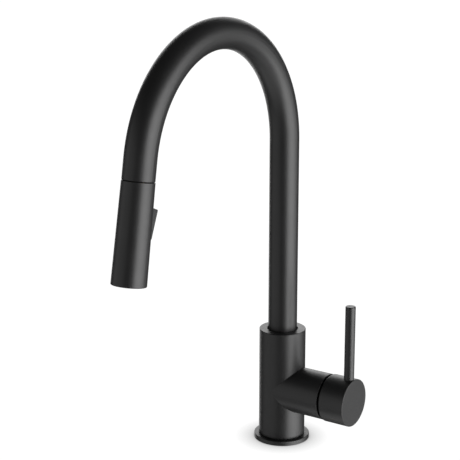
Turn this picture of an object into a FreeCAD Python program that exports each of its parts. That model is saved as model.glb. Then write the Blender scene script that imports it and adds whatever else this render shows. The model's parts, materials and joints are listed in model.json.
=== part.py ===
import FreeCAD, Part
import math
import os
import re

import Sketcher

# A single-hole, side-lever, pull-down kitchen faucet, in millimetres.
# The origin is the middle of the flange's deck face. +Z is up, the spout reaches towards -Y and the
# lever stands on the +X side. Three local frames are used:
#   column  the row frame itself, along the riser
#   arm     local z along the valve arm (row +X), local x straight down, origin on the riser's axis
#   wand    local z down along the wand, origin at the seam of spout and wand, local -y faces the riser

SIZES = {
    # clearances between neighbours, and how far a cutting shape runs past the face it opens
    "fit_gap": 0.05,
    "thread_gap": 0.02,
    "swivel_gap": 0.3,
    "overcut": 1,
    # deck, base flange and what clamps them
    "deck_thickness": 30,
    "flange_radius": 27.7,
    "flange_height": 4.4,
    "flange_bore": 18.1,
    "flange_round": 0.6,
    "gasket_inner": 21,
    "gasket_outer": 25,
    "gasket_depth": 1.6,
    "stud_radius": 3,
    "stud_circle": 13.8,
    "stud_angle": 32,
    "stud_depth": 14,
    "stud_end": 72,
    "stud_play": 0.3,
    "stud_tip_gap": 0.5,
    "horseshoe_radius": 29,
    "horseshoe_slot": 17.6,
    "horseshoe_web": 6.5,
    "rubber_thickness": 3,
    "plate_thickness": 2.5,
    "nut_corner": 5.77,
    "nut_height": 6,
    # body casting
    "body_radius": 23,
    "body_top": 115,
    "body_round": 0.6,
    "foot_groove_radius": 21.9,
    "foot_groove_top": 5.1,
    "foot_round": 0.3,
    "spigot_radius": 17.9,
    "spigot_bottom": 0.4,
    "arm_height": 53.65,
    "arm_radius": 22.9,
    "arm_end": 54,
    "arm_round": 0.4,
    "hose_passage": 7.2,
    "bore_radius": 15.4,
    "bore_floor": 70,
    "port_circle": 12.3,
    "port_angle": 72,
    "port_thread": 4.46,
    "port_depth": 12,
    "drill_radius": 3,
    "drill_rise": 0.5,
    "cross_drill": 2.4,
    "cross_offset": 10.2,
    "seat_port_circle": 8.5,
    "seat_port_depth": 5,
    # cartridge
    "seat_face": 26,
    "chamber_radius": 17.7,
    "nut_bore": 20,
    "nut_bore_start": 43.5,
    "nut_gap": 0.1,
    "slot_half": 1.5,
    "slot_depth": 2,
    "cartridge_radius": 17.5,
    "cartridge_bore": 14.5,
    "cartridge_shoulder": 44,
    "cartridge_neck": 15.2,
    "cartridge_top": 52,
    "cartridge_mouth": 9,
    "base_plate": 3,
    "seal_outer": 4.6,
    "seal_inner": 3.2,
    "seal_depth": 1.2,
    "port_hole": 2.9,
    "fixed_disc_start": 29.2,
    "fixed_disc_end": 33.2,
    "moving_disc_radius": 10.2,
    "moving_disc_end": 37,
    "mixing_radius": 6.2,
    "mixing_depth": 1.5,
    "carrier_end": 41.2,
    "guide_start": 41.5,
    "guide_radius": 14.1,
    "guide_shoulder": 46,
    "guide_neck": 8.4,
    "guide_end": 51.8,
    "dome_radius": 19.9,
    "dome_wall": 2,
    "dome_mouth": 13.5,
    "dome_play": 0.4,
    "dome_land": 0.5,
    # handle
    "lift_pivot": 50,
    "lift_range": 20,
    "pin_radius": 2,
    "pin_reach": 7.8,
    "pin_play": 0.05,
    "stem_side": 8,
    "stem_end": 79.5,
    "stem_slot": 8.7,
    "stem_neck": 43.5,
    "stem_tip_gap": 0.5,
    "ball_radius": 3.2,
    "ball_neck": 2.5,
    "ball_centre": 40.4,
    "ball_socket": 3.6,
    "hub_start": 56.5,
    "hub_end": 83,
    "hub_radius": 23.6,
    "hub_bore": 20.9,
    "hub_floor": 70.5,
    "hub_round": 1,
    "hub_end_round": 0.5,
    "rim_gap": 0.35,
    "sweep_reach": 10,
    "scallop_radius": 11.84,
    "scallop_centre": 50.16,
    "lever_radius": 5,
    "lever_place": 76.9,
    "lever_top": 151.3,
    "lever_round": 0.8,
    "lever_spigot": 3,
    "lever_root": 8,
    "lever_root_gap": 0.3,
    "lever_sink": 3.5,
    "grub_radius": 2.5,
    "grub_place": 75,
    "grub_length": 10,
    "plug_length": 3,
    "plug_sink": 0.3,
    "hex_radius": 1.25,
    "hex_depth": 2.5,
    # spout
    "riser_radius": 14.3,
    "tube_wall": 1.2,
    "tube_bottom": 80.05,
    "bend_radius": 112.4,
    "bend_height": 305.35,
    "bend_angle": 170,
    "dock_run": 18.6,
    "seam_half": 0.15,
    "seam_bevel": 0.45,
    "insert_bore": 8.2,
    "insert_flange": 15,
    "insert_groove": 12.4,
    "insert_groove_low": 74,
    "insert_groove_high": 77.2,
    "insert_sleeve": 13.05,
    "insert_wall": 1.5,
    "insert_taper": 4,
    "insert_top": 95,
    "washer_thickness": 2,
    "washer_outer": 15.1,
    "bush_inner": 14.36,
    "bush_outer": 15.38,
    "bush_length": 10,
    "lower_bush": 82,
    "upper_bush": 101.5,
    "retainer_height": 75.6,
    "retainer_tip": 1.25,
    "retainer_reach": 12.75,
    "retainer_shoulder": 15.9,
    "retainer_back": 21.3,
    "collar_bore": 12,
    "collar_length": 13,
    "collar_flare": 0.6,
    "collar_lead": 1.5,
    # hose and its fittings
    "hose_radius": 6.5,
    "hose_low": 58,
    "hose_stop": 18.3,
    "ferrule_radius": 7.1,
    "ferrule_length": 14,
    "connect_radius": 5.5,
    "connect_length": 22,
    "connect_shank": 18,
    "connect_flange": 7,
    "connect_bore": 3.2,
    "connect_bevel": 0.8,
    "ring_groove_first": 4,
    "ring_groove_pitch": 4,
    "ring_groove_width": 2,
    "ring_groove_depth": 1.5,
    "ring_wire": 0.9,
    "fitting_neck": 5.9,
    "fitting_head": 8.6,
    "fitting_bore": 3.2,
    # wand
    "wand_top_radius": 14.5,
    "wand_end_radius": 15.5,
    "wand_length": 88.5,
    "wand_round": 0.9,
    "wand_top_bore": 12.9,
    "wand_end_bore": 13.8,
    "lip_bottom": 2.2,
    "neck_bore": 4.4,
    "neck_thread": 9,
    "neck_hole": 9.3,
    "neck_flange": 12.4,
    "neck_flange_end": 5,
    "neck_spigot": 5.2,
    "neck_end": 14,
    "neck_top": 5.5,
    "hose_washer_depth": 0.7,
    "valve_bore": 1.2,
    "valve_end": 13,
    "nut_radius": 11.6,
    "nut_taper": 9.2,
    "nut_shoulder": 4,
    "nut_inner": 9.05,
    "nut_mouth": 6.3,
    "nut_top": 12,
    "nut_shelf": 9.8,
    "waterway_radius": 7.2,
    "waterway_bore": 3.8,
    "waterway_straight": 51.4,
    "waterway_flare": 58,
    "waterway_skirt": 12.6,
    "waterway_end": 79,
    "chamber_top": 66,
    "chamber_bore": 10.8,
    "face_top": 79.3,
    "face_radius": 13.6,
    "face_shoulder": 11.6,
    "face_thickness": 2.6,
    "face_recess": 0.6,
    "aerator_radius": 5.8,
    "aerator_bore": 4.8,
    "aerator_top": 74,
    "mesh_hole": 0.6,
    "mesh_depth": 3,
    "mesh_sink": 2,
    "nozzle_radius": 0.8,
    "nozzle_proud": 0.4,
    "pad_thickness": 1.2,
    "pad_gap": 0.3,
    "inner_ring": 8,
    "outer_ring": 11.2,
    "seal_wire": 0.45,
    "seal_sink": 3,
    # spray button and the diverter behind it
    "button_top": 23.4,
    "button_back": 21.4,
    "button_end": 49,
    "button_proud": 20.4,
    "button_crown": 19.6,
    "button_flush": 15.15,
    "button_inside": 10.8,
    "button_half": 9,
    "button_lap": 0.5,
    "window_top": 21.1,
    "window_end": 49.4,
    "window_half": 9.3,
    "hinge_depth": 9.4,
    "hinge_place": 46,
    "hinge_radius": 1,
    "hinge_reach": 10.3,
    "hinge_lug": 7.7,
    "lug_half": 1.9,
    "spool_place": 30,
    "spool_radius": 2.6,
    "spool_head": 3.4,
    "spool_rim": 0.6,
    "spool_start": 3.6,
    "spool_end": 10.1,
    "spool_gap": 0.35,
    "tongue_half": 2.5,
}
NOZZLES = {"inner_ring": 10, "outer_ring": 16}
RELIEF_STEPS = 5
SKETCH_X_AXIS = -1
SKETCH_Y_AXIS = -2

doc = FreeCAD.newDocument("PullDownFaucet")
sheet = doc.addObject("Spreadsheet::Sheet", "Sizes")
for row, (alias, number) in enumerate(SIZES.items(), start=1):
    sheet.set(f"A{row}", alias)
    sheet.set(f"B{row}", str(number))
    sheet.setAlias(f"B{row}", alias)
doc.recompute()
nodes = []


# ---- expressions and frames ----

def bound(formula):
    """The formula as an expression, with each size name read from the sheet."""
    return re.sub(r"[a-z_]+", lambda word: ("Sizes." if word[0] in SIZES else "") + word[0], formula)


def size(formula):
    return float(sheet.evalExpression(bound(formula)))


def bind(thing, **formulas):
    """Bind properties of an object to the sheet; __ in a name stands for a dot."""
    for name, formula in formulas.items():
        thing.setExpression(name.replace("__", "."), bound(formula))
    return thing


def seam_point():
    """Where the spout meets the wand, on the tube's centre line."""
    turn = math.radians(size("bend_angle"))
    reach = size("bend_radius") * (1 - math.cos(turn)) + size("dock_run") * math.sin(turn)
    rise = size("bend_radius") * math.sin(turn) + size("dock_run") * math.cos(turn)
    return FreeCAD.Vector(0, -reach, size("bend_height") + rise)


COLUMN = FreeCAD.Placement()
ARM = FreeCAD.Placement(FreeCAD.Vector(0, 0, size("arm_height")),
                        FreeCAD.Rotation(FreeCAD.Vector(0, 1, 0), 90))
WAND = FreeCAD.Placement(seam_point(), FreeCAD.Rotation(FreeCAD.Vector(1, 0, 0), size("bend_angle")))
TURNS = {
    "+z": FreeCAD.Rotation(),
    "-z": FreeCAD.Rotation(FreeCAD.Vector(1, 0, 0), 180),
    "+x": FreeCAD.Rotation(FreeCAD.Vector(0, 1, 0), 90),
    "-x": FreeCAD.Rotation(FreeCAD.Vector(0, 1, 0), -90),
    "+y": FreeCAD.Rotation(FreeCAD.Vector(1, 0, 0), -90),
    "-y": FreeCAD.Rotation(FreeCAD.Vector(1, 0, 0), 90),
}


# ---- shapes ----

def origin_plane(body, role):
    return next(feature for feature in body.Origin.OriginFeatures if feature.Role == role)


def new_sketch(body, plane):
    sketch = body.newObject("Sketcher::SketchObject", body.Name + "_sketch")
    sketch.AttachmentSupport = [(origin_plane(body, plane), "")]
    sketch.MapMode = "FlatFace"
    return sketch


def hold_point(sketch, place, kind, formula, axis):
    """Hold a sketch point at a signed distance from the origin, or on the axis where that is zero."""
    edge, end = place
    if size(formula) == 0:
        sketch.addConstraint(Sketcher.Constraint("PointOnObject", edge, end, axis))
        return
    index = sketch.addConstraint(Sketcher.Constraint(kind, -1, 1, edge, end, size(formula)))
    sketch.setExpression(f"Constraints[{index}]", bound(formula))


def outline(body, plane, points):
    """A closed sketch of straight edges, each corner bound to the sheet."""
    sketch = new_sketch(body, plane)
    corners = [FreeCAD.Vector(size(across), size(along), 0) for across, along in points]
    count = len(corners)
    for edge in range(count):
        sketch.addGeometry(Part.LineSegment(corners[edge], corners[(edge + 1) % count]), False)
    for edge in range(count):
        sketch.addConstraint(Sketcher.Constraint("Coincident", edge, 2, (edge + 1) % count, 1))
    for edge, (across, along) in enumerate(points):
        hold_point(sketch, (edge, 1), "DistanceX", across, SKETCH_Y_AXIS)
        hold_point(sketch, (edge, 1), "DistanceY", along, SKETCH_X_AXIS)
    return sketch


def lathe(name, points):
    """A turned piece: points are (radius, height) about the local z axis."""
    body = doc.addObject("PartDesign::Body", name)
    turned = body.newObject("PartDesign::Revolution", name + "_turned")
    turned.Profile = outline(body, "XZ_Plane", points)
    turned.ReferenceAxis = (turned.Profile[0], ["V_Axis"])
    turned.Angle = 360
    doc.recompute()
    return body


def ring(name, inner, outer, low, high):
    return lathe(name, [(inner, low), (outer, low), (outer, high), (inner, high)])


def rounded(body, radius, places):
    """Fillet the circular edges of a turned piece that lie at the given (radius, height) places."""
    base = body.Tip
    fillet = body.newObject("PartDesign::Fillet", radius)
    fillet.Base = (base, [edge_name(base.Shape, size(across), size(along)) for across, along in places])
    bind(fillet, Radius=radius)
    doc.recompute()
    return body


def edge_name(shape, radius, height):
    """The name of the full circle of that radius about the local z axis at that height."""
    for index, edge in enumerate(shape.Edges, start=1):
        circle = edge.Curve
        if isinstance(circle, Part.Circle) and abs(circle.Radius - radius) < 1e-4 and \
                abs(circle.Center.z - height) < 1e-4:
            return f"Edge{index}"
    raise ValueError(f"no edge of radius {radius} at {height}")


def rod(radius, length, start=("0", "0", "0"), direction="+z"):
    """A plain cylinder from a start point along one local axis."""
    cylinder = bind(doc.addObject("Part::Cylinder", "rod"), Radius=radius, Height=length)
    cylinder.Placement.Rotation = TURNS[direction]
    return placed(cylinder, start)


def placed(thing, start):
    x, y, z = start
    return bind(thing, Placement__Base__x=x, Placement__Base__y=y, Placement__Base__z=z)


def block(low, high):
    """A box between two corners given as formulas."""
    box = doc.addObject("Part::Box", "block")
    spans = [f"({top}) - ({bottom})" for bottom, top in zip(low, high)]
    bind(box, Length=spans[0], Width=spans[1], Height=spans[2])
    return placed(box, low)


def ball(radius, centre):
    return placed(bind(doc.addObject("Part::Sphere", "ball"), Radius=radius), centre)


def joined(*pieces):
    fusion = doc.addObject("Part::MultiFuse", "joined")
    fusion.Shapes = list(pieces)
    return fusion


def group(*pieces):
    """Separate solids kept as one node, or one solid carried into a frame."""
    result = doc.addObject("Part::Compound", "group")
    result.Links = list(pieces)
    return result


def cut(base, *tools):
    """The base without its tools, taken away one after another so that they may overlap."""
    for tool in tools:
        result = doc.addObject("Part::Cut", "cut")
        result.Base = base
        result.Tool = tool
        base = result
    return base


def common(*pieces):
    result = doc.addObject("Part::MultiCommon", "common")
    result.Shapes = list(pieces)
    return result


def node(label, thing, frame=COLUMN):
    """Name a finished sub-part, put it in its frame and keep it for export."""
    thing.Label = label
    thing.Placement = frame
    nodes.append(thing)


def around(circle, angle):
    """The (x, y) formulas of a point on a circle about the local z axis."""
    return f"{circle} * cos(({angle}) * 1 deg)", f"{circle} * sin(({angle}) * 1 deg)"


# ---- base and deck clamp ----

def base_flange():
    profile = [("flange_bore", "0"), ("gasket_inner", "0"), ("gasket_inner", "gasket_depth"),
               ("gasket_outer", "gasket_depth"), ("gasket_outer", "0"), ("flange_radius", "0"),
               ("flange_radius", "flange_height"), ("flange_bore", "flange_height")]
    flange = lathe("base_flange", profile)
    node("base_flange", rounded(flange, "flange_round", [("flange_radius", "flange_height")]))
    gasket = ring("base_gasket", "gasket_inner + fit_gap", "gasket_outer - fit_gap", "0",
                  "gasket_depth - fit_gap")
    node("base_gasket", gasket)


def stud_places():
    return [around("stud_circle", angle) for angle in ("180 - stud_angle", "180 + stud_angle")]


def horseshoe(label, top, thickness):
    """An open clamp plate: a disc with a slot for the hoses and a hole for each stud."""
    plate = rod("horseshoe_radius", thickness, ("0", "0", top), "-z")
    slot = block(("-horseshoe_web", "-horseshoe_slot", f"{top} - {thickness} - overcut"),
                 ("horseshoe_radius + overcut", "horseshoe_slot", f"{top} + overcut"))
    holes = [rod("stud_radius + stud_play", f"{thickness} + 2 * overcut", (x, y, f"{top} + overcut"), "-z")
             for x, y in stud_places()]
    node(label, cut(plate, slot, *holes))


def deck_clamp():
    stud_length = "stud_end + spigot_bottom + stud_depth - stud_tip_gap"
    studs = [rod("stud_radius - thread_gap", stud_length, (x, y, "-stud_end")) for x, y in stud_places()]
    node("mounting_studs", group(*studs))
    horseshoe("rubber_horseshoe", "-deck_thickness", "rubber_thickness")
    horseshoe("steel_horseshoe", "-deck_thickness - rubber_thickness", "plate_thickness")
    nuts = []
    nut_low = "-deck_thickness - rubber_thickness - plate_thickness - nut_height"
    for x, y in stud_places():
        prism = doc.addObject("Part::Prism", "hexagon")
        bind(prism, Circumradius="nut_corner", Height="nut_height")
        thread = rod("stud_radius", "nut_height", (x, y, nut_low))
        nuts.append(cut(placed(prism, (x, y, nut_low)), thread))
    node("mounting_nuts", group(*nuts))


# ---- body casting ----

def waterways():
    """Drillings from the three threaded ports up to the three ports of the cartridge seat."""
    tools = []
    rise = {"port_angle": "arm_height + seat_port_circle / 2", "0": "arm_height - seat_port_circle",
            "-port_angle": "arm_height + seat_port_circle / 2"}
    for angle, height in rise.items():
        x, y = around("port_circle", angle)
        length = f"{height} + drill_radius + drill_rise - spigot_bottom"
        tools.append(rod("drill_radius", length, (x, y, "spigot_bottom")))
        tools.append(rod("port_thread", "port_depth", (x, y, "spigot_bottom")))
    x, y = around("port_circle", "port_angle")
    for side in ("", "-"):
        start = (x, side + "cross_offset", rise["port_angle"])
        length = f"seat_face - seat_port_depth + cross_drill - ({x})"
        tools.append(rod("cross_drill", length, start, "+x"))
        port = ("seat_face - seat_port_depth", f"{side}seat_port_circle * cos(30 deg)", rise["port_angle"])
        tools.append(rod("port_hole", "seat_port_depth", port, "+x"))
    outlet = ("port_circle", "0", rise["0"])
    tools.append(rod("port_hole", "seat_face - port_circle", outlet, "+x"))
    return tools


def faucet_body():
    column = lathe("body_column", [
        ("0", "spigot_bottom"), ("spigot_radius", "spigot_bottom"), ("spigot_radius", "flange_height"),
        ("foot_groove_radius", "flange_height"), ("foot_groove_radius", "foot_groove_top"),
        ("body_radius", "foot_groove_top"), ("body_radius", "body_top"), ("0", "body_top")])
    rounded(column, "foot_round", [("body_radius", "foot_groove_top")])
    rounded(column, "body_round", [("body_radius", "body_top")])
    arm = lathe("body_arm", [("0", "0"), ("arm_radius", "0"), ("arm_radius", "arm_end"), ("0", "arm_end")])
    rounded(arm, "arm_round", [("arm_radius", "arm_end")])
    arm.Placement = ARM
    tools = waterways()
    tools.append(rod("hose_passage", "body_top", ("0", "0", "0")))
    tools.append(rod("bore_radius", "body_top - bore_floor", ("0", "0", "bore_floor")))
    tools.append(rod("chamber_radius", "arm_end - seat_face", ("seat_face", "0", "arm_height"), "+x"))
    nut_seat = ("nut_bore_start", "0", "arm_height")
    tools.append(rod("nut_bore", "arm_end - nut_bore_start", nut_seat, "+x"))
    tools.append(rod("grub_radius", "body_radius", ("0", "0", "retainer_height"), "+y"))
    for x, y in stud_places():
        tools.append(rod("stud_radius", "stud_depth", (x, y, "spigot_bottom")))
    node("faucet_body", cut(joined(column, arm), *tools))


# ---- spout swivel ----

def swivel():
    washer_top = "bore_floor + washer_thickness"
    node("thrust_washer", ring("thrust_washer", "insert_bore", "washer_outer", "bore_floor", washer_top))
    for label, low in (("lower_swivel_bush", "lower_bush"), ("upper_swivel_bush", "upper_bush")):
        node(label, ring(label, "bush_inner", "bush_outer", low, f"{low} + bush_length"))
    socket = rod("hex_radius", "hex_depth", ("0", "retainer_back - hex_depth", "retainer_height"), "+y")
    tip = rod("retainer_tip", "retainer_shoulder - retainer_reach",
              ("0", "retainer_reach", "retainer_height"), "+y")
    thread = rod("grub_radius - thread_gap", "retainer_back - retainer_shoulder",
                 ("0", "retainer_shoulder", "retainer_height"), "+y")
    node("spout_retaining_screw", cut(joined(tip, thread), socket))
    node("spout_insert", lathe("spout_insert", [
        ("insert_bore", f"{washer_top} + fit_gap"), ("insert_flange", f"{washer_top} + fit_gap"),
        ("insert_flange", "insert_groove_low"), ("insert_groove", "insert_groove_low"),
        ("insert_groove", "insert_groove_high"), ("insert_flange", "insert_groove_high"),
        ("insert_flange", "tube_bottom - fit_gap"), ("insert_sleeve", "tube_bottom - fit_gap"),
        ("insert_sleeve", "insert_top"), ("insert_sleeve - insert_wall", "insert_top"),
        ("insert_sleeve - insert_wall", "tube_bottom + insert_taper"), ("insert_bore", "tube_bottom")]))


# ---- spout tube and hose, both along the gooseneck's centre line ----

def centre_line(body, low, stop):
    """Riser, bend and dock run as one YZ sketch, from height low to a distance above the seam."""
    sketch = new_sketch(body, "YZ_Plane")
    turn = math.radians(size("bend_angle"))
    centre = FreeCAD.Vector(-size("bend_radius"), size("bend_height"), 0)
    bend_end = centre + FreeCAD.Vector(math.cos(turn), math.sin(turn), 0) * size("bend_radius")
    along = FreeCAD.Vector(-math.sin(turn), math.cos(turn), 0)
    riser_low = FreeCAD.Vector(0, size(low), 0)
    riser_high = FreeCAD.Vector(0, size("bend_height"), 0)
    circle = Part.Circle(centre, FreeCAD.Vector(0, 0, 1), size("bend_radius"))
    run = f"dock_run - ({stop})"
    sketch.addGeometry(Part.LineSegment(riser_low, riser_high), False)
    sketch.addGeometry(Part.ArcOfCircle(circle, 0, turn), False)
    sketch.addGeometry(Part.LineSegment(bend_end, bend_end + along * size(run)), False)
    sketch.addConstraint(Sketcher.Constraint("PointOnObject", 0, 1, SKETCH_Y_AXIS))
    sketch.addConstraint(Sketcher.Constraint("Vertical", 0))
    sketch.addConstraint(Sketcher.Constraint("Tangent", 0, 2, 1, 1))
    sketch.addConstraint(Sketcher.Constraint("Tangent", 1, 2, 2, 1))
    hold_point(sketch, (0, 1), "DistanceY", low, SKETCH_X_AXIS)
    hold_point(sketch, (0, 2), "DistanceY", "bend_height", SKETCH_X_AXIS)
    for kind, geometry, formula in (("Radius", 1, "bend_radius"), ("Distance", 2, run)):
        index = sketch.addConstraint(Sketcher.Constraint(kind, geometry, size(formula)))
        sketch.setExpression(f"Constraints[{index}]", bound(formula))
    index = sketch.addConstraint(Sketcher.Constraint("Angle", 2, 2, 0, 1, math.pi - turn))
    sketch.setExpression(f"Constraints[{index}]", bound("(180 - bend_angle) * 1 deg"))
    return sketch


def swept(name, low, stop, radii):
    """A pipe along the centre line; radii are its outer circle and, where it is hollow, its inner one."""
    body = doc.addObject("PartDesign::Body", name)
    section = new_sketch(body, "XY_Plane")
    bind(section, AttachmentOffset__Base__z=low)
    for index, radius in enumerate(radii):
        circle = Part.Circle(FreeCAD.Vector(0, 0, 0), FreeCAD.Vector(0, 0, 1), size(radius))
        section.addGeometry(circle, False)
        section.addConstraint(Sketcher.Constraint("Coincident", index, 3, -1, 1))
        place = section.addConstraint(Sketcher.Constraint("Radius", index, size(radius)))
        section.setExpression(f"Constraints[{place}]", bound(radius))
    spine = centre_line(body, low, stop)
    doc.recompute()
    pipe = body.newObject("PartDesign::AdditivePipe", name + "_pipe")
    pipe.Profile = section
    pipe.Spine = (spine, [f"Edge{index}" for index in (1, 2, 3)])
    doc.recompute()
    return body


def spout_tube():
    tube = swept("spout_tube", "tube_bottom", "seam_half", ["riser_radius", "riser_radius - tube_wall"])
    pipe = tube.Tip
    seam = seam_point()
    mouth = [f"Edge{index}" for index, edge in enumerate(pipe.Shape.Edges, start=1)
             if isinstance(edge.Curve, Part.Circle) and (edge.Curve.Center - seam).Length < 1
             and abs(edge.Curve.Radius - size("riser_radius")) < 1e-4]
    bevel = tube.newObject("PartDesign::Chamfer", "tube_mouth_bevel")
    bevel.Base = (pipe, mouth)
    bind(bevel, Size="seam_bevel")
    node("spout_tube", tube)
    back, outside = "-seam_half - collar_length", "riser_radius - tube_wall - fit_gap"
    node("docking_collar", lathe("docking_collar", [
        ("collar_bore", back), (outside, back), (outside, "-seam_half"),
        ("collar_bore + collar_flare", "-seam_half"), ("collar_bore", "-seam_half - collar_lead")]), WAND)


def spray_hose():
    node("spray_hose", swept("spray_hose", "-hose_low", "hose_stop", ["hose_radius"]))
    low = "-hose_low - ferrule_length"
    node("hose_lower_ferrule", ring("hose_lower_ferrule", "connect_bore", "ferrule_radius", low,
                                    "-hose_low - fit_gap"))
    quick_connect(f"{low} - connect_length", f"{low} - fit_gap")


def quick_connect(end, back):
    """The hose's lower end: a spigot with a sealing ring in each of its two grooves."""
    profile = [("connect_bore", end), ("connect_radius - connect_bevel", end),
               ("connect_radius", f"{end} + connect_bevel")]
    rings = []
    for start in ("ring_groove_first", "ring_groove_first + ring_groove_pitch"):
        low, high = f"{end} + {start}", f"{end} + {start} + ring_groove_width"
        profile += [("connect_radius", low), ("connect_radius - ring_groove_depth", low),
                    ("connect_radius - ring_groove_depth", high), ("connect_radius", high)]
        torus = doc.addObject("Part::Torus", "o_ring")
        bind(torus, Radius1="connect_radius - ring_groove_depth + ring_wire",
             Radius2="ring_wire - thread_gap")
        rings.append(placed(torus, ("0", "0", f"{low} + ring_groove_width / 2")))
    shank = f"{end} + connect_shank"
    profile += [("connect_radius", shank), ("connect_flange", shank), ("connect_flange", back),
                ("connect_bore", back)]
    node("hose_quick_connect", lathe("hose_quick_connect", profile))
    node("quick_connect_rings", group(*rings))


# ---- cartridge, along the arm ----

def seat_ports(radius, low, high):
    """Three short cylinders on the seat's port circle: hot, cold and the mixed outlet below them."""
    return [rod(radius, f"({high}) - ({low})", around("seat_port_circle", angle) + (low,))
            for angle in (0, 120, 240)]


def cartridge():
    base = rod("cartridge_radius", "base_plate - fit_gap", ("0", "0", "seat_face + fit_gap"))
    recesses = seat_ports("seal_outer + fit_gap", "seat_face", "seat_face + seal_depth")
    ports = seat_ports("port_hole", "seat_face", "seat_face + base_plate + overcut")
    node("cartridge_base", cut(base, *recesses, *ports), ARM)
    outer = seat_ports("seal_outer", "seat_face + fit_gap", "seat_face + seal_depth")
    inner = seat_ports("seal_inner", "seat_face", "seat_face + seal_depth + overcut")
    node("cartridge_port_seals", cut(joined(*outer), *inner), ARM)
    fixed = rod("cartridge_bore - nut_gap", "fixed_disc_end - fixed_disc_start",
                ("0", "0", "fixed_disc_start"))
    openings = seat_ports("port_hole", "fixed_disc_start - overcut", "fixed_disc_end + overcut")
    node("fixed_ceramic_disc", cut(fixed, *openings), ARM)
    low, step = "seat_face + base_plate + fit_gap", "guide_shoulder + dome_play"
    node("cartridge_housing", lathe("cartridge_housing", [
        ("cartridge_bore", low), ("cartridge_radius", low), ("cartridge_radius", "cartridge_shoulder"),
        ("cartridge_neck", "cartridge_shoulder"), ("cartridge_neck", "cartridge_top"),
        ("cartridge_mouth", "cartridge_top"), ("cartridge_mouth", step), ("cartridge_bore", step)]), ARM)
    cartridge_nut()


def cartridge_nut():
    nut = ring("nut_blank", "cartridge_neck + nut_gap", "nut_bore - fit_gap", "cartridge_shoulder",
               "cartridge_top")
    slots = [block((f"-{across}", f"-{along}", "cartridge_top - slot_depth"),
                   (across, along, "cartridge_top + overcut"))
             for across, along in (("nut_bore", "slot_half"), ("slot_half", "nut_bore"))]
    node("cartridge_nut", cut(nut, *slots), ARM)


def bonnet_dome():
    """A spherical collar about the lift pivot, so the hub can tilt over it at a constant gap."""
    base = ring("dome_base", "cartridge_neck + nut_gap", "nut_bore - dome_play", "cartridge_top + fit_gap",
                "arm_end + dome_land")
    centre = ("0", "0", "lift_pivot")
    shell = cut(ball("dome_radius", centre), ball("dome_radius - dome_wall", centre))
    zone = rod("dome_radius + overcut", "lift_pivot + dome_radius - arm_end", ("0", "0", "arm_end"))
    mouth = rod("dome_mouth", "dome_radius + overcut", centre)
    node("bonnet_dome", cut(joined(base, common(shell, zone)), mouth), ARM)


def cartridge_works():
    face = "fixed_disc_end + fit_gap"
    disc = rod("moving_disc_radius", f"moving_disc_end - ({face})", ("0", "0", face))
    mixing = rod("mixing_radius", "mixing_depth + overcut", ("0", "0", f"{face} - overcut"))
    node("moving_ceramic_disc", cut(disc, mixing), ARM)
    node("disc_carrier", ring("disc_carrier", "ball_socket", "moving_disc_radius",
                              "moving_disc_end + fit_gap", "carrier_end"), ARM)
    turret = lathe("turret_blank", [
        ("0", "guide_start"), ("guide_radius", "guide_start"), ("guide_radius", "guide_shoulder"),
        ("guide_neck", "guide_shoulder"), ("guide_neck", "guide_end"), ("0", "guide_end")])
    slot = block(("-guide_neck - overcut", "-stem_slot / 2", "guide_start - overcut"),
                 ("guide_neck + overcut", "stem_slot / 2", "guide_end + overcut"))
    bore = rod("pin_radius", "2 * guide_radius", ("0", "-guide_radius", "lift_pivot"), "+y")
    node("stem_guide", cut(turret, slot, bore), ARM)
    pin = rod("pin_radius", "2 * pin_reach", ("0", "-pin_reach", "lift_pivot"), "+y")
    node("stem_pin", group(pin), ARM)


# ---- handle ----

def lever_stem():
    half = "stem_side / 2"
    bar = block((f"-{half}", f"-{half}", "stem_neck"), (half, half, "stem_end"))
    neck = rod("ball_neck", "stem_neck - ball_centre", ("0", "0", "ball_centre"))
    tip = ball("ball_radius", ("0", "0", "ball_centre"))
    pin_hole = rod("pin_radius + pin_play", "2 * stem_side", ("0", "-stem_side", "lift_pivot"), "+y")
    node("lever_stem", cut(joined(bar, neck, tip), pin_hole), ARM)


def arm_sweep():
    """The arm's end as the hub meets it, at each step of the lift: what the hub's rim must clear."""
    tools = []
    for step in range(1, RELIEF_STEPS + 1):
        turn = f"lift_range * {step / RELIEF_STEPS}"
        tool = rod("arm_radius + rim_gap", "arm_end + rim_gap - lift_pivot + sweep_reach")
        tool.Placement.Rotation = FreeCAD.Rotation(FreeCAD.Vector(0, 1, 0), -size(turn))
        across = f"sweep_reach * sin({turn} * 1 deg)"
        along = f"lift_pivot - sweep_reach * cos({turn} * 1 deg)"
        tools.append(placed(tool, (across, "0", along)))
    return tools


def handle_hub():
    shell = lathe("hub_blank", [
        ("hub_bore", "hub_start"), ("hub_radius", "hub_start"), ("hub_radius", "hub_end"),
        ("0", "hub_end"), ("0", "hub_floor"), ("hub_bore", "hub_floor")])
    rounded(shell, "hub_round", [("hub_radius", "hub_start")])
    rounded(shell, "hub_end_round", [("hub_radius", "hub_end")])
    half = "stem_side / 2 + thread_gap"
    square = block((f"-({half})", f"-({half})", "hub_floor - overcut"),
                   (half, half, "stem_end + stem_tip_gap"))
    scallop = rod("scallop_radius", "hub_radius", ("hub_bore / 2", "0", "scallop_centre"), "+x")
    lever_hole = rod("lever_spigot + thread_gap", "hub_radius", ("-lever_root", "0", "lever_place"), "-x")
    lever_seat = rod("lever_radius + fit_gap", "hub_radius",
                     ("lever_sink - hub_radius", "0", "lever_place"), "-x")
    grub_hole = rod("grub_radius + thread_gap", "hub_radius", ("0", "0", "grub_place"), "+x")
    tools = [square, scallop, lever_hole, lever_seat, grub_hole] + arm_sweep()
    node("handle_hub", cut(shell, *tools), ARM)
    hub_screw()


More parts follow.
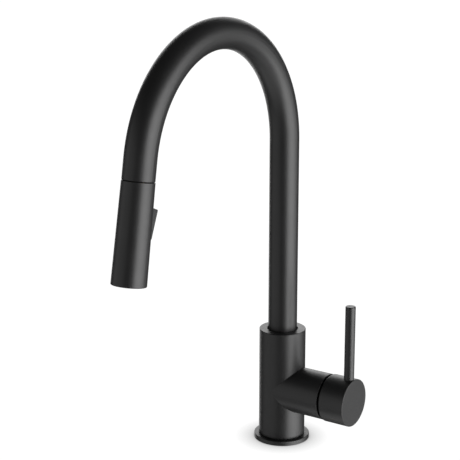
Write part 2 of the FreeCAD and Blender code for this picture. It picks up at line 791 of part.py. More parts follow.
def hub_screw():
    """The grub screw that clamps the hub on its stem, and the plug that hides it."""
    start = "stem_side / 2 + fit_gap"
    grub = rod("grub_radius", "grub_length", (start, "0", "grub_place"), "+x")
    socket = rod("hex_radius", "hex_depth", (f"{start} + grub_length - hex_depth", "0", "grub_place"), "+x")
    node("hub_grub_screw", cut(grub, socket), ARM)
    plug = rod("grub_radius", "plug_length", ("hub_radius - plug_sink", "0", "grub_place"), "-x")
    node("grub_screw_plug", group(plug), ARM)


def lever_rod():
    root, seat = "arm_height + lever_root + lever_root_gap", "arm_height + hub_radius - lever_sink"
    lever = lathe("lever_rod", [
        ("0", root), ("lever_spigot", root), ("lever_spigot", seat), ("lever_radius", seat),
        ("lever_radius", "lever_top"), ("0", "lever_top")])
    rounded(lever, "lever_round", [("lever_radius", "lever_top")])
    beside = FreeCAD.Vector(size("lever_place"), 0, 0)
    node("lever_rod", lever, FreeCAD.Placement(beside, FreeCAD.Rotation()))


# ---- wand ----

def hose_end():
    back, shelf = "-hose_stop + fit_gap", "-nut_shelf + swivel_gap"
    face = "-neck_top - hose_washer_depth - swivel_gap"
    node("hose_end_fitting", lathe("hose_end_fitting", [
        ("fitting_bore", back), ("ferrule_radius", back), ("ferrule_radius", "-nut_top - swivel_gap"),
        ("fitting_neck", "-nut_top - swivel_gap"), ("fitting_neck", shelf), ("fitting_head", shelf),
        ("fitting_head", face), ("fitting_bore", face)]), WAND)
    node("hose_nut", lathe("hose_nut", [
        ("nut_mouth", "-nut_top"), ("nut_taper", "-nut_top"), ("nut_radius", "-nut_top + nut_shoulder"),
        ("nut_radius", "-swivel_gap"), ("nut_inner", "-swivel_gap"), ("nut_inner", "-nut_shelf"),
        ("nut_mouth", "-nut_shelf")]), WAND)
    washer = ring("hose_washer", "neck_bore", "fitting_head", "-neck_top - hose_washer_depth", "-neck_top")
    node("hose_washer", washer, WAND)


def wand_neck():
    lip = "lip_bottom + fit_gap"
    node("wand_neck", lathe("wand_neck", [
        ("neck_bore", "-neck_top"), ("neck_thread", "-neck_top"), ("neck_thread", lip), ("neck_flange", lip),
        ("neck_flange", "neck_flange_end"), ("neck_spigot", "neck_flange_end"), ("neck_spigot", "neck_end"),
        ("neck_bore", "neck_end")]), WAND)
    node("check_valve", ring("check_valve", "valve_bore", "neck_bore - fit_gap", "neck_flange_end",
                             "valve_end"), WAND)


def wand_shell():
    shell = lathe("shell_blank", [
        ("neck_hole", "seam_half"), ("wand_top_radius - seam_bevel", "seam_half"),
        ("wand_top_radius", "seam_half + seam_bevel"), ("wand_end_radius", "wand_length"),
        ("wand_end_bore", "wand_length"), ("wand_end_bore", "waterway_end"),
        ("wand_top_bore", "lip_bottom"), ("neck_hole", "lip_bottom")])
    rounded(shell, "wand_round", [("wand_end_radius", "wand_length")])
    window = block(("-window_half", "-wand_end_radius - overcut", "window_top"),
                   ("window_half", "-waterway_radius", "window_end"))
    pin_start = ("-hinge_reach", "-hinge_depth", "hinge_place")
    pin_hole = rod("hinge_radius", "2 * hinge_reach", pin_start, "+x")
    node("wand_shell", cut(shell, window, pin_hole), WAND)


def wand_waterway():
    socket, top = "neck_spigot + fit_gap", "neck_flange_end + fit_gap"
    body = lathe("waterway_blank", [
        (socket, top), ("waterway_radius", top), ("waterway_radius", "waterway_straight"),
        ("waterway_skirt", "waterway_flare"), ("waterway_skirt", "waterway_end"),
        ("chamber_bore", "waterway_end"), ("chamber_bore", "chamber_top"), ("waterway_bore", "chamber_top"),
        ("waterway_bore", "neck_end + fit_gap"), (socket, "neck_end + fit_gap")])
    spool_bore = rod("spool_radius + fit_gap", "2 * waterway_radius",
                     ("0", "-waterway_radius - overcut", "spool_place"), "+y")
    node("wand_waterway", cut(body, spool_bore), WAND)


def nozzle_places():
    for circle, count in NOZZLES.items():
        for index in range(count):
            yield around(circle, f"360 * {index} / {count}")


def spray_face():
    low = "wand_length - face_recess"
    back = f"{low} - face_thickness"
    plate = lathe("face_blank", [
        ("aerator_radius + fit_gap", back), ("face_shoulder", back), ("face_shoulder", "face_top"),
        ("face_radius", "face_top"), ("face_radius", low), ("aerator_radius + fit_gap", low)])
    holes = [rod("nozzle_radius + thread_gap", "face_thickness + 2 * overcut", (x, y, f"{back} - overcut"))
             for x, y in nozzle_places()]
    node("spray_face", cut(plate, *holes), WAND)
    nozzle_pad(f"{back} - fit_gap")
    housing = ring("aerator_housing", "aerator_bore", "aerator_radius", "aerator_top", low)
    node("aerator_housing", housing, WAND)
    node("aerator_insert", ring("aerator_insert", "mesh_hole", "aerator_bore - fit_gap",
                                f"{low} - mesh_sink - mesh_depth", f"{low} - mesh_sink"), WAND)
    seal = doc.addObject("Part::Torus", "face_seal_ring")
    bind(seal, Radius1="waterway_skirt + seal_wire + fit_gap", Radius2="seal_wire")
    node("face_seal", group(placed(seal, ("0", "0", "waterway_end - seal_sink"))), WAND)


def nozzle_pad(high):
    """The soft pad behind the spray face, with a tip that stands through each of the face's holes."""
    pad = ring("nozzle_pad_ring", "aerator_radius + pad_gap", "face_shoulder - pad_gap",
               f"{high} - pad_thickness", high)
    tips = [rod("nozzle_radius", "face_thickness + nozzle_proud", (x, y, high)) for x, y in nozzle_places()]
    node("spray_nozzles", joined(pad, *tips), WAND)


def spray_button():
    """A wedge that is flush at its hinge end and stands proud at its top.

    Its low crown is part of a turned cone whose axis lies well in front of the wand's."""
    cone = lathe("button_cone", [
        ("button_inside + button_crown", "button_back"), ("button_proud + button_crown", "button_top"),
        ("button_flush + button_crown", "button_end"), ("button_inside + button_crown", "button_end")])
    cone.Placement = FreeCAD.Placement(FreeCAD.Vector(0, size("button_crown"), 0), FreeCAD.Rotation())
    slab = block(("-button_half", "-button_proud", "window_top"),
                 ("button_half", "-hinge_depth", "window_end"))
    behind = "-button_inside - button_lap"
    lug = block(("-button_half", behind, "hinge_place - lug_half"),
                ("button_half", "-hinge_lug", "hinge_place + lug_half"))
    tongue = block(("-tongue_half", behind, "spool_place - tongue_half"),
                   ("tongue_half", "-spool_end - spool_gap", "spool_place + tongue_half"))
    pin_hole = rod("hinge_radius + pin_play", "2 * hinge_reach",
                   ("-hinge_reach", "-hinge_depth", "hinge_place"), "+x")
    node("spray_button", cut(joined(common(cone, slab), lug, tongue), pin_hole), WAND)
    pin = rod("hinge_radius", "2 * hinge_reach - 2 * fit_gap",
              ("fit_gap - hinge_reach", "-hinge_depth", "hinge_place"), "+x")
    node("button_hinge_pin", group(pin), WAND)


def diverter_spool():
    plunger = rod("spool_radius", "spool_start + spool_end", ("0", "-spool_end", "spool_place"), "+y")
    head = rod("spool_head", "spool_rim", ("0", "-spool_end", "spool_place"), "+y")
    node("diverter_spool", joined(plunger, head), WAND)


def main():
    base_flange()
    deck_clamp()
    faucet_body()
    swivel()
    spout_tube()
    spray_hose()
    cartridge()
    bonnet_dome()
    cartridge_works()
    lever_stem()
    handle_hub()
    lever_rod()
    hose_end()
    wand_neck()
    wand_shell()
    wand_waterway()
    spray_face()
    spray_button()
    diverter_spool()
    doc.recompute()
    failed = [thing.Name for thing in doc.Objects if {"Invalid", "Error"} & set(thing.State)]
    failed += [thing.Label for thing in nodes if thing.Shape.isNull() or not thing.Shape.isValid()]
    if failed:
        raise RuntimeError(f"not built: {failed}")
    os.makedirs("parts", exist_ok=True)
    for thing in nodes:
        thing.Shape.exportStep(f"parts/{thing.Label}.step")


main()
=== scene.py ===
import json
import math

import bpy
from mathutils import Matrix, Vector


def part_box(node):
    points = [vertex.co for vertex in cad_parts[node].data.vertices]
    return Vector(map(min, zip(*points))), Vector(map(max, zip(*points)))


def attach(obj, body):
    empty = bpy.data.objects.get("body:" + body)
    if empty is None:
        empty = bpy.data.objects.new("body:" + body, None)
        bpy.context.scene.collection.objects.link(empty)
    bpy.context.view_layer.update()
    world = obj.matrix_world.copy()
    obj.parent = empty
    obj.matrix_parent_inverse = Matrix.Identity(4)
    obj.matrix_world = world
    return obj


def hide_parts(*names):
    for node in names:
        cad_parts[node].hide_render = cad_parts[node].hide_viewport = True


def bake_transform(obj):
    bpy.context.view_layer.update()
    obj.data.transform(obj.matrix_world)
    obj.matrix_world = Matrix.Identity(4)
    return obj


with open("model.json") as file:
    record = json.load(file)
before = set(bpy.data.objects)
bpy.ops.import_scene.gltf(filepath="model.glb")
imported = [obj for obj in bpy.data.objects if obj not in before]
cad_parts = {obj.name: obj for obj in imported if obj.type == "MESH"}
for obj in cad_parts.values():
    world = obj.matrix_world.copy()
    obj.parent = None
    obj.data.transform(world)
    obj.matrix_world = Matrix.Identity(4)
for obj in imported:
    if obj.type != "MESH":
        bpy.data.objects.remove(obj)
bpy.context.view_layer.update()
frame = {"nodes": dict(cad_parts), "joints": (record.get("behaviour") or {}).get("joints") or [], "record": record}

MM = 0.001
MICRON = 0.000001

# ---- camera and studio, in metres and degrees ----

CAMERA_PLACE = (0.7006, -1.1074, 0.5586)
CAMERA_TURN = 34.61
CAMERA_DIP = 14.68
CAMERA_LENS = 108.37
SENSOR = 36
SOFTBOX_TARGET = Vector((0, -0.08, 0.2))
SOFTBOX_DISTANCE = 2.0
# Each softbox: the middle of its window as turned from the camera and raised, the window's width and
# height in degrees as the faucet sees it, and its radiance.
SOFTBOXES = {
    "key_softbox": (50, -4, 44, 68, 5.1),
    "wing_softbox": (84, -4, 24, 68, 3.5),
    "tail_softbox": (110, -12, 26, 52, 0.55),
    "fill_softbox": (-70, -5, 80, 62, 0.64),
    "rim_softbox": (183, 15, 50, 30, 2.8),
    "low_rim_softbox": (196, -16, 34, 30, 1.6),
    "bounce_softbox": (0, -80, 80, 60, 0.9),
}
WORLD_GLOW = 0.085
WHITE = 1.05
FLOOR_SIZE = 60
SHADOW_REACH = 0.03
SHADOW_DEPTH = 1.25


def add_camera():
    data = bpy.data.cameras.new("camera")
    data.lens = CAMERA_LENS
    data.sensor_width = SENSOR
    camera = bpy.data.objects.new("camera", data)
    camera.location = CAMERA_PLACE
    camera.rotation_euler = (math.radians(90 - CAMERA_DIP), 0, math.radians(CAMERA_TURN))
    bpy.context.scene.collection.objects.link(camera)
    bpy.context.scene.camera = camera


def add_softbox(name, turn, rise, width, height, radiance):
    """A soft window of light; turn 0 is the camera's own side and grows to the camera's right."""
    across, up = math.radians(turn + CAMERA_TURN), math.radians(rise)
    outward = Vector((math.sin(across) * math.cos(up), -math.cos(across) * math.cos(up), math.sin(up)))
    data = bpy.data.lights.new(name, "AREA")
    data.shape = "RECTANGLE"
    data.size = 2 * SOFTBOX_DISTANCE * math.tan(math.radians(width / 2))
    data.size_y = 2 * SOFTBOX_DISTANCE * math.tan(math.radians(height / 2))
    data.energy = radiance * math.pi * data.size * data.size_y
    light = bpy.data.objects.new(name, data)
    light.location = SOFTBOX_TARGET + outward * SOFTBOX_DISTANCE
    light.rotation_euler = outward.to_track_quat("Z", "Y").to_euler()
    bpy.context.scene.collection.objects.link(light)


def add_world():
    """White behind the object, and only a dim glow on it, so that the softboxes shape the black coat."""
    world = bpy.data.worlds.new("studio")
    world.use_nodes = True
    nodes, links = world.node_tree.nodes, world.node_tree.links
    nodes.clear()
    path = nodes.new("ShaderNodeLightPath")
    mix = nodes.new("ShaderNodeMixShader")
    links.new(path.outputs["Is Camera Ray"], mix.inputs[0])
    for socket, strength in ((1, WORLD_GLOW), (2, WHITE)):
        light = nodes.new("ShaderNodeBackground")
        light.inputs["Color"].default_value = (1, 1, 1, 1)
        light.inputs["Strength"].default_value = strength
        links.new(light.outputs[0], mix.inputs[socket])
    output = nodes.new("ShaderNodeOutputWorld")
    links.new(mix.outputs[0], output.inputs[0])
    bpy.context.scene.world = world


def add_floor():
    """A pale floor that glows like a lit table, darkens softly in a painted contact shadow where the object is
    close to it, and lets the deck clamp be seen from below."""
    bpy.ops.mesh.primitive_plane_add(size=FLOOR_SIZE)
    floor = bpy.context.object
    floor.name = "floor"
    material = bpy.data.materials.new("pale_floor")
    material.use_nodes = True
    nodes, links = material.node_tree.nodes, material.node_tree.links
    nodes.clear()
    # painted contact shadow: ambient occlusion dims the floor's glow near the object, since the floor takes no
    # cast shadow
    closeness = nodes.new("ShaderNodeAmbientOcclusion")
    closeness.inputs["Distance"].default_value = SHADOW_REACH
    shade = nodes.new("ShaderNodeMapRange")
    shade.inputs["To Min"].default_value = WHITE * (1 - SHADOW_DEPTH)
    shade.inputs["To Max"].default_value = WHITE
    glow = nodes.new("ShaderNodeEmission")
    side = nodes.new("ShaderNodeNewGeometry")
    clear = nodes.new("ShaderNodeBsdfTransparent")
    mix = nodes.new("ShaderNodeMixShader")
    output = nodes.new("ShaderNodeOutputMaterial")
    links.new(closeness.outputs["AO"], shade.inputs["Value"])
    links.new(shade.outputs["Result"], glow.inputs["Strength"])
    links.new(side.outputs["Backfacing"], mix.inputs[0])
    links.new(glow.outputs[0], mix.inputs[1])
    links.new(clear.outputs[0], mix.inputs[2])
    links.new(mix.outputs[0], output.inputs["Surface"])
    floor.data.materials.append(material)
    floor.visible_glossy = False
    floor.visible_diffuse = False
    floor.visible_shadow = False


# ---- material tools ----

# a noise texture rarely leaves this middle band, so ramps are spread over it
NOISE_LOW = 0.3
NOISE_HIGH = 0.7
STRAND_HEIGHT = "strand_height"


def new_material(name, color, roughness, metallic=0.0, **inputs):
    """A material and its shader; further inputs are named as on the shader, with _ for a space."""
    material = bpy.data.materials.new(name)
    material.use_nodes = True
    shader = material.node_tree.nodes["Principled BSDF"]
    shader.inputs["Base Color"].default_value = (*color, 1)
    shader.inputs["Roughness"].default_value = roughness
    shader.inputs["Metallic"].default_value = metallic
    for socket, value in inputs.items():
        shader.inputs[socket.replace("_", " ")].default_value = value
    return material, shader


def noise(material, scale, detail=2.0, stretch=(1, 1, 1)):
    """A noise over the object's own coordinates; scale is in features per metre."""
    nodes, links = material.node_tree.nodes, material.node_tree.links
    place = nodes.new("ShaderNodeTexCoord")
    mapping = nodes.new("ShaderNodeMapping")
    mapping.inputs["Scale"].default_value = stretch
    texture = nodes.new("ShaderNodeTexNoise")
    texture.inputs["Scale"].default_value = scale
    texture.inputs["Detail"].default_value = detail
    links.new(place.outputs["Object"], mapping.inputs["Vector"])
    links.new(mapping.outputs[0], texture.inputs["Vector"])
    return texture.outputs[0]


def vary(material, value, socket, low, high):
    """Spread a noise over a range and feed it to a number socket."""
    spread = material.node_tree.nodes.new("ShaderNodeMapRange")
    spread.inputs["From Min"].default_value = NOISE_LOW
    spread.inputs["From Max"].default_value = NOISE_HIGH
    spread.inputs["To Min"].default_value = low
    spread.inputs["To Max"].default_value = high
    material.node_tree.links.new(value, spread.inputs["Value"])
    material.node_tree.links.new(spread.outputs["Result"], socket)


def tint(material, value, shader, dark, light, low=NOISE_LOW, high=NOISE_HIGH):
    """Let a value mix the shader's base colour from two."""
    ramp = material.node_tree.nodes.new("ShaderNodeValToRGB")
    for element, position, color in zip(ramp.color_ramp.elements, (low, high), (dark, light)):
        element.position = position
        element.color = (*color, 1)
    material.node_tree.links.new(value, ramp.inputs[0])
    material.node_tree.links.new(ramp.outputs[0], shader.inputs["Base Color"])


def relief(material, shader, layers):
    """Stack bumps on the shader's normal; each layer is (value, strength, depth in metres)."""
    nodes, links = material.node_tree.nodes, material.node_tree.links
    normal = None
    for value, strength, depth in layers:
        bump = nodes.new("ShaderNodeBump")
        bump.inputs["Strength"].default_value = strength
        bump.inputs["Distance"].default_value = depth
        links.new(value, bump.inputs["Height"])
        if normal:
            links.new(normal, bump.inputs["Normal"])
        normal = bump.outputs[0]
    links.new(normal, shader.inputs["Normal"])


# ---- materials ----

# how a noise is drawn out into tool lines that cross one axis
CROSS_X = (1, 0.02, 0.02)
CROSS_Z = (0.02, 0.02, 1)
# a node whose middle lies further out than this is turned along the valve arm
ARM_START = 23 * MM
# the heights of a braid's strand at which it has its darkest and its lightest tone;
# the darker tone low in the weave is painted shade in its valleys
VALLEY_HEIGHT = 0.1
STRAND_CROWN = 0.9


def powder_coat():
    """Matte black powder coat: a soft orange peel with a fine grain on it."""
    material, shader = new_material("matte_black_powder_coat", (0.005, 0.005, 0.0052), 0.43)
    grain = noise(material, 4200, 3)
    tint(material, grain, shader, (0.0035, 0.0035, 0.0037), (0.0068, 0.0068, 0.007))
    vary(material, noise(material, 55, 4), shader.inputs["Roughness"], 0.41, 0.45)
    relief(material, shader, [(noise(material, 900), 0.12, 40 * MICRON), (grain, 0.12, 10 * MICRON)])
    return material


def moulded(name, dark, light, roughness, **inputs):
    """An injection-moulded plastic with a spark-eroded grain and faint flow clouds."""
    material, shader = new_material(name, light, roughness, **inputs)
    grain = noise(material, 3000, 3)
    tint(material, noise(material, 90, 4), shader, dark, light)
    vary(material, grain, shader.inputs["Roughness"], roughness - 0.05, roughness + 0.05)
    relief(material, shader, [(grain, 0.3, 20 * MICRON)])
    return material


def machined(name, dark, light, roughness, stretch):
    """Bare turned or drawn metal with fine tool lines and a slightly uneven tone."""
    material, shader = new_material(name, light, roughness, metallic=1.0)
    lines = noise(material, 2500, 2, stretch)
    tint(material, noise(material, 70, 5), shader, dark, light)
    vary(material, lines, shader.inputs["Roughness"], roughness - 0.07, roughness + 0.09)
    dents = noise(material, 400, 3)
    relief(material, shader, [(lines, 0.25, 10 * MICRON), (dents, 0.08, 40 * MICRON)])
    return material


def brass(name, stretch):
    """Bare yellow brass."""
    return machined(name, (0.58, 0.38, 0.14), (0.76, 0.55, 0.25), 0.27, stretch)


def steel(name, stretch):
    """Zinc plated or stainless steel, with a cool and a warm tone in it."""
    return machined(name, (0.5, 0.52, 0.55), (0.66, 0.66, 0.64), 0.32, stretch)


def rubber(name, dark, light, roughness):
    """Soft moulded rubber or silicone with a dull, powdery grain."""
    material, shader = new_material(name, light, roughness, Sheen_Weight=0.15)
    grain = noise(material, 1800, 4)
    tint(material, noise(material, 160, 4), shader, dark, light)
    vary(material, grain, shader.inputs["Roughness"], roughness - 0.06, roughness + 0.06)
    relief(material, shader, [(grain, 0.4, 30 * MICRON)])
    return material


def alumina():
    """Lapped ceramic: hard, white and nearly smooth, with a trace of pores."""
    material, shader = new_material("lapped_alumina", (0.86, 0.85, 0.82), 0.16, Coat_Weight=0.3)
    tint(material, noise(material, 1500, 5), shader, (0.78, 0.77, 0.73), (0.88, 0.87, 0.84))
    vary(material, noise(material, 600, 3), shader.inputs["Roughness"], 0.1, 0.24)
    relief(material, shader, [(noise(material, 5000), 0.1, 10 * MICRON)])
    return material


def braid():
    """Woven nylon: satin strands of fine filaments, with painted shade darkening the valleys between them."""
    material, shader = new_material("nylon_braid", (0.05, 0.05, 0.052), 0.5, Sheen_Weight=0.3)
    height = material.node_tree.nodes.new("ShaderNodeAttribute")
    height.attribute_name = STRAND_HEIGHT
    # painted shade: the tone runs from near black in the weave's valleys to the strands' own grey on their crowns
    valley, strand = (0.006, 0.006, 0.0065), (0.075, 0.075, 0.078)
    tint(material, height.outputs["Fac"], shader, valley, strand, VALLEY_HEIGHT, STRAND_CROWN)
    filaments = noise(material, 5000, 3)
    vary(material, filaments, shader.inputs["Roughness"], 0.4, 0.62)
    relief(material, shader, [(filaments, 0.35, 30 * MICRON)])
    return material


def slot_materials():
    """One material for each of the record's slots."""
    return {
        "matte_black_coat": powder_coat(),
        "black_plastic": moulded("black_satin_plastic", (0.006, 0.006, 0.0065),
                                 (0.009, 0.009, 0.0095), 0.48),
        "brass": brass("turned_brass", CROSS_Z),
        "steel": steel("zinc_plated_steel", CROSS_Z),
        "black_rubber": rubber("black_rubber", (0.01, 0.01, 0.01), (0.02, 0.02, 0.02), 0.75),
        "grey_rubber": rubber("grey_silicone", (0.1, 0.1, 0.105), (0.14, 0.14, 0.145), 0.55),
        "white_nylon": moulded("natural_nylon", (0.74, 0.72, 0.66), (0.82, 0.8, 0.75), 0.45,
                               Subsurface_Weight=0.15, Subsurface_Scale=0.002),
        "cartridge_plastic": moulded("grey_acetal", (0.3, 0.32, 0.33), (0.38, 0.4, 0.41), 0.4),
        "ceramic": alumina(),
        "hose_braid": braid(),
    }


def dress_nodes():
    """Give each CAD node its slot's material; metal on the valve arm has tool lines about the arm."""
    along_arm = {"brass": brass("turned_brass_arm", CROSS_X),
                 "steel": steel("zinc_plated_steel_arm", CROSS_X)}
    for entry in frame["record"]["subparts"]:
        node, slot = frame["nodes"][entry["node"]], entry["material_slot"]
        low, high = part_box(entry["node"])
        on_arm = (low.x + high.x) / 2 > ARM_START
        node.data.materials.clear()
        node.data.materials.append(along_arm.get(slot, materials[slot]) if on_arm else materials[slot])


# ---- frames and mesh tools, in metres ----

# a corner between faces stays sharp above this angle
SHARP_ANGLE = math.radians(35)
# the most of a side that one of its soft corners may take
CORNER_SHARE = 0.45


def joint(name):
    """The frame's entry for a joint."""
    return next(entry for entry in frame["joints"] if entry["name"] == name)


def axes(origin, x, y, z):
    """The matrix of a local frame with those axes at that origin."""
    return Matrix.Translation(origin) @ Matrix((x, y, z)).transposed().to_4x4()


def wand_frame():
    """Local z down the wand, origin at the seam, local -y towards the riser."""
    down = Vector(joint("wand_swivel")["axis"]).normalized()
    across = Vector((1, 0, 0))
    return axes(Vector(joint("wand_swivel")["pos_m"]), across, down.cross(across), down)


def extent(node, place):
    """The lowest and highest corner of a CAD node in a local frame."""
    back = place.inverted()
    spans = list(zip(*(back @ vertex.co for vertex in frame["nodes"][node].data.vertices)))
    return Vector([min(span) for span in spans]), Vector([max(span) for span in spans])


def skin(rings, closed=False):
    """Points and faces over rings: capped at both ends or, where closed, joined last to first."""
    count, total = len(rings[0]), len(rings)
    points = [point for ring in rings for point in ring]
    faces = []
    for low in range(total if closed else total - 1):
        here, there = low * count, (low + 1) % total * count
        for step in range(count):
            after = (step + 1) % count
            faces.append([here + step, here + after, there + after, there + step])
    if not closed:
        faces.append(list(reversed(range(count))))
        faces.append(list(range((total - 1) * count, total * count)))
    return points, faces


def merged(shapes):
    """Several (points, faces) shapes as one."""
    points, faces = [], []
    for more_points, more_faces in shapes:
        faces += [[len(points) + index for index in face] for face in more_faces]
        points += more_points
    return points, faces


def add_piece(name, shape, slot, node, body=None):
    """A piece in its slot's material that stands for a CAD node and, given a body, rides on it."""
    mesh = bpy.data.meshes.new(name)
    mesh.from_pydata(shape[0], [], shape[1])
    mesh.shade_smooth()
    mesh.set_sharp_from_angle(angle=SHARP_ANGLE)
    mesh.materials.append(materials[slot])
    piece = bpy.data.objects.new(name, mesh)
    bpy.context.scene.collection.objects.link(piece)
    if body:
        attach(piece, body)
    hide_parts(node)
    return piece


def turned(profile, place, segments=96, reach=None):
    """Rings about a local z axis; reach(angle, radius, height) may vary the radius round a ring."""
    rings = []
    for radius, height in profile:
        ring = []
        for step in range(segments):
            angle = 2 * math.pi * step / segments
            length = reach(angle, radius, height) if reach else radius
            ring.append(place @ Vector((length * math.cos(angle), length * math.sin(angle), height)))
        rings.append(ring)
    return rings


def softened(corners, radius, steps=3):
    """A closed outline with each of its corners drawn into a short curve."""
    outline = []
    for index, corner in enumerate(corners):
        corner = Vector(corner)
        before = Vector(corners[index - 1]) - corner
        after = Vector(corners[(index + 1) % len(corners)]) - corner
        reach = min(radius, CORNER_SHARE * before.length, CORNER_SHARE * after.length)
        first, last = corner + before.normalized() * reach, corner + after.normalized() * reach
        for step in range(steps + 1):
            share = step / steps
            rest = 1 - share
            outline.append(first * rest ** 2 + corner * 2 * share * rest + last * share ** 2)
    return outline


# ---- studs, nuts and the retaining screw ----

M6_PITCH = 1.0 * MM
M5_PITCH = 0.8 * MM
THREAD_DEPTH = 0.61
THREAD_STEPS = 6
# a thread's depth is reached before half a pitch, which leaves a flat at its root
FLANK_SLOPE = 1.25
HEX = math.radians(60)
CHAMFER_SLOPE = math.sqrt(3)
CHAMFER_SHARES = (0, 0.33, 0.67, 1)
NUT_SEGMENTS = 72
SCREW_SEGMENTS = 36
TIP_LENGTH = 3.15 * MM
TIP_RADIUS = 1.25 * MM
SOCKET_HALF = 1.25 * MM
SOCKET_DEPTH = 2.5 * MM


def hexagon(angle, apothem):
    """How far a hexagon reaches at an angle from one of its corners."""
    return apothem / math.cos(angle % HEX - HEX / 2)


def thread(radius, pitch, low, high, place, segments=32):
    """The rings of a screw thread, run out by a chamfer at both ends."""
    depth = THREAD_DEPTH * pitch

    def helix(angle, reach, height):
        phase = (height / pitch - angle / (2 * math.pi)) % 1
        groove = depth * min(1, FLANK_SLOPE * abs(2 * phase - 1))
        return reach - max(groove, depth - min(height - low, high - height))

    count = round((high - low) / pitch * THREAD_STEPS)
    profile = [(radius, low + (high - low) * step / count) for step in range(count + 1)]
    return turned(profile, place, segments, helix)


def add_studs():
    """Two threaded rods that hang from the body through the deck hole."""
    low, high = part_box("mounting_studs")
    radius = (high.x - low.x) / 2
    rods = []
    for side in (-1, 1):
        place = Matrix.Translation((low.x + radius, side * (high.y - radius), 0))
        rods.append(skin(thread(radius, M6_PITCH, low.z, high.z, place)))
    add_piece("threaded_studs", merged(rods), "steel", "mounting_studs", "base")


def add_nuts():
    """Hexagon nuts whose corners are cut back by the usual 30 degree cone."""
    low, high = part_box("mounting_nuts")
    stud_low, stud_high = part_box("mounting_studs")
    corner, bore = (high.x - low.x) / 2, (stud_high.x - stud_low.x) / 2
    apothem = corner * math.cos(HEX / 2)
    chamfer = (corner - apothem) / CHAMFER_SLOPE

    def flats(angle, radius, height):
        if radius == bore:
            return bore
        inward = min(height - low.z, high.z - height)
        return min(hexagon(angle, apothem), apothem + inward * CHAMFER_SLOPE)

    rises = [share * chamfer for share in CHAMFER_SHARES]
    heights = [low.z + rise for rise in rises] + [high.z - rise for rise in reversed(rises)]
    profile = [(corner, height) for height in heights] + [(bore, high.z), (bore, low.z)]
    nuts = []
    for side in (-1, 1):
        place = Matrix.Translation(((low.x + high.x) / 2, side * (high.y - apothem), 0))
        nuts.append(skin(turned(profile, place, NUT_SEGMENTS, flats), closed=True))
    add_piece("hex_nuts", merged(nuts), "steel", "mounting_nuts", "base")


def add_retaining_screw():
    """A dog-point set screw in the back of the body, with a hexagon socket."""
    low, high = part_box("spout_retaining_screw")
    radius, height = (high.x - low.x) / 2, (low.z + high.z) / 2
    place = axes(Vector((0, 0, height)), Vector((1, 0, 0)), Vector((0, 0, -1)), Vector((0, 1, 0)))
    shoulder = low.y + TIP_LENGTH
    tip = turned([(TIP_RADIUS, low.y), (TIP_RADIUS, shoulder)], place, SCREW_SEGMENTS)
    shank = thread(radius, M5_PITCH, shoulder, high.y, place, SCREW_SEGMENTS)
    mouth, bottom = (SOCKET_HALF, high.y), (SOCKET_HALF, high.y - SOCKET_DEPTH)
    socket = turned([mouth, bottom], place, SCREW_SEGMENTS,
                    lambda angle, apothem, along: hexagon(angle, apothem))
    add_piece("set_screw", skin(tip + shank + socket), "steel", "spout_retaining_screw", "base")


# ---- spray hose ----

BEND_RADIUS = 112.4 * MM
BEND_HEIGHT = 305.35 * MM
BEND_TURN = math.radians(170)
STRETCH_LENGTH = 20 * MM
BRAID_DIAMONDS = 12
BRAID_DIAMOND = 3.4 * MM
BRAID_DEPTH = 0.3 * MM
BRAID_SAMPLES = 6
# how high a strand still lies where it dives under another
STRAND_DIP = 0.45
HIDDEN_STEP = 5 * MM
WOVEN_TOP = 6 * MM
HALVINGS = 40


def weave(angle, run):
    """The height of a braid of two crossing sets of flat strands: 0 in a valley, 1 on a strand."""
    turn, rise = BRAID_DIAMONDS * angle / (2 * math.pi), run / BRAID_DIAMOND
    first, second = turn + rise, turn - rise
    across, along = first % 1, second % 1
    if (math.floor(first) + math.floor(second)) % 2:
        across, along = along, across
    return (1 - (2 * across - 1) ** 4) * (STRAND_DIP + (1 - STRAND_DIP) * math.sin(math.pi * along))


def add_hose_piece(name, radius, stations, body=None):
    """A braided tube over stations of (place, distance along the braid, share of the relief)."""
    count = BRAID_DIAMONDS * BRAID_SAMPLES
    rings, heights = [], []
    for place, run, share in stations:
        ring = []
        for step in range(count):
            angle = 2 * math.pi * step / count
            height = weave(angle, run) * share
            reach = radius - BRAID_DEPTH * (1 - height)
            ring.append(place @ Vector((reach * math.cos(angle), reach * math.sin(angle), 0)))
            heights.append(height)
        rings.append(ring)
    piece = add_piece(name, skin(rings), "hose_braid", "spray_hose", body)
    attribute = piece.data.attributes.new(STRAND_HEIGHT, "FLOAT", "POINT")
    attribute.data.foreach_set("value", heights)
    return piece


def gooseneck(height):
    """The place on the spout's centre line where the riser, if it ran on, would have that height."""
    if height <= BEND_HEIGHT:
        return Matrix.Translation((0, 0, height))
    turn = (height - BEND_HEIGHT) / BEND_RADIUS
    place = Vector((0, BEND_RADIUS * (math.cos(turn) - 1), BEND_HEIGHT + BEND_RADIUS * math.sin(turn)))
    return Matrix.Translation(place) @ Matrix.Rotation(turn, 4, "X")


def add_hose():
    """The hose keeps to the spout, but its last stretch runs out with the wand."""
    low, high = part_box("spray_hose")
    radius = (high.x - low.x) / 2
    step = BRAID_DIAMOND / BRAID_SAMPLES
    top = BEND_HEIGHT + BEND_RADIUS * BEND_TURN - STRETCH_LENGTH
    stations, height = [], low.z
    while height < top:
        woven = height < WOVEN_TOP
        stations.append((gooseneck(height), height, 1 if woven else 0))
        height += step if woven else HIDDEN_STEP
    stations.append((gooseneck(top), top, 0))
    add_hose_piece("hose_run", radius, stations, "spout")
    add_hose_stretch(radius, step, top)


